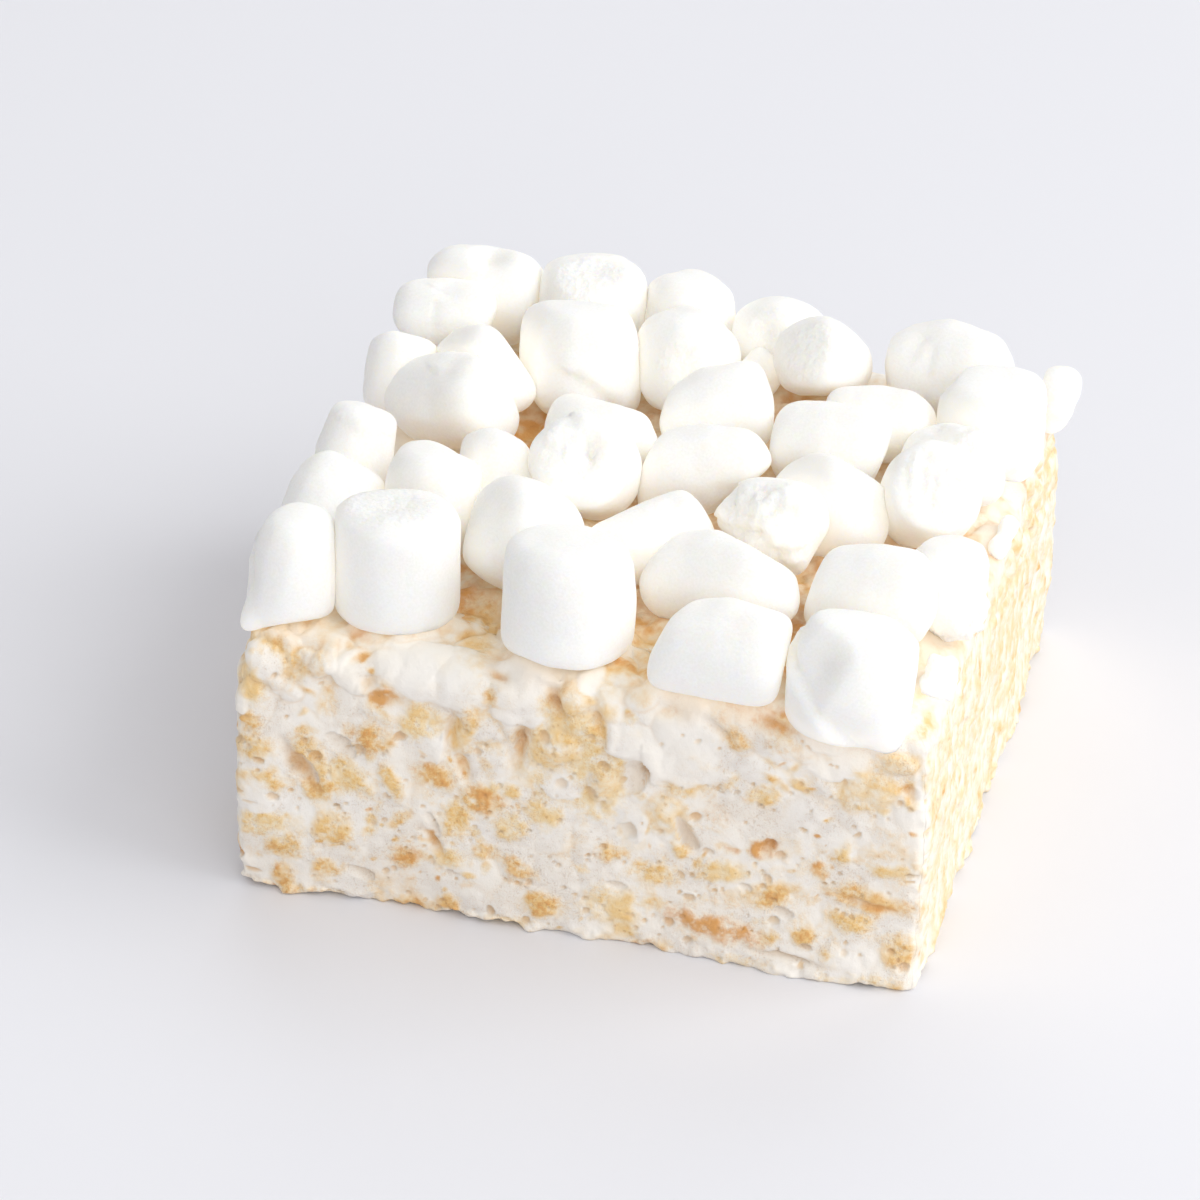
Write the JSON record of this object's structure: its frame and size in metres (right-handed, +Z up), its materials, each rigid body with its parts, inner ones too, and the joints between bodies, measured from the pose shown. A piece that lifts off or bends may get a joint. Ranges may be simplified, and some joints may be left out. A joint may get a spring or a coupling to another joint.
{
  "type": "rice crispy cake",
  "caption": "Square cut of crisped rice set in melted marshmallow, its top covered with small whole marshmallows.",
  "frame": {"origin": "middle of the cake's underside, on the surface it stands on", "axes": "+Z up; +X to the right along the front cut face; +Y from the front cut face to the back one"},
  "size_m": [0.0768, 0.0794, 0.0428],
  "materials": {
    "marshmallow": "matt, dusted with fine starch, slightly translucent",
    "cake": "cut faces matt and porous with pale golden rice; top glazed"
  },
  "bodies": {
    "root": {"marshmallow_01": "marshmallow", "marshmallow_02": "marshmallow", "marshmallow_03": "marshmallow", "marshmallow_04": "marshmallow", "marshmallow_05": "marshmallow", "marshmallow_06": "marshmallow", "marshmallow_07": "marshmallow", "marshmallow_08": "marshmallow", "marshmallow_09": "marshmallow", "marshmallow_10": "marshmallow", "marshmallow_11": "marshmallow", "marshmallow_12": "marshmallow", "marshmallow_13": "marshmallow", "marshmallow_14": "marshmallow", "marshmallow_15": "marshmallow", "marshmallow_16": "marshmallow", "marshmallow_17": "marshmallow", "marshmallow_18": "marshmallow", "marshmallow_19": "marshmallow", "marshmallow_20": "marshmallow", "marshmallow_21": "marshmallow", "marshmallow_22": "marshmallow", "marshmallow_23": "marshmallow", "marshmallow_24": "marshmallow", "marshmallow_25": "marshmallow", "marshmallow_26": "marshmallow", "marshmallow_27": "marshmallow", "marshmallow_28": "marshmallow", "marshmallow_29": "marshmallow", "marshmallow_30": "marshmallow", "marshmallow_31": "marshmallow", "marshmallow_32": "marshmallow", "marshmallow_33": "marshmallow", "marshmallow_34": "marshmallow", "marshmallow_35": "marshmallow", "marshmallow_36": "marshmallow", "marshmallow_37": "marshmallow", "marshmallow_38": "marshmallow", "marshmallow_39": "marshmallow", "marshmallow_40": "marshmallow", "marshmallow_41": "marshmallow", "cake": "cake"}
  },
  "joints": []
}
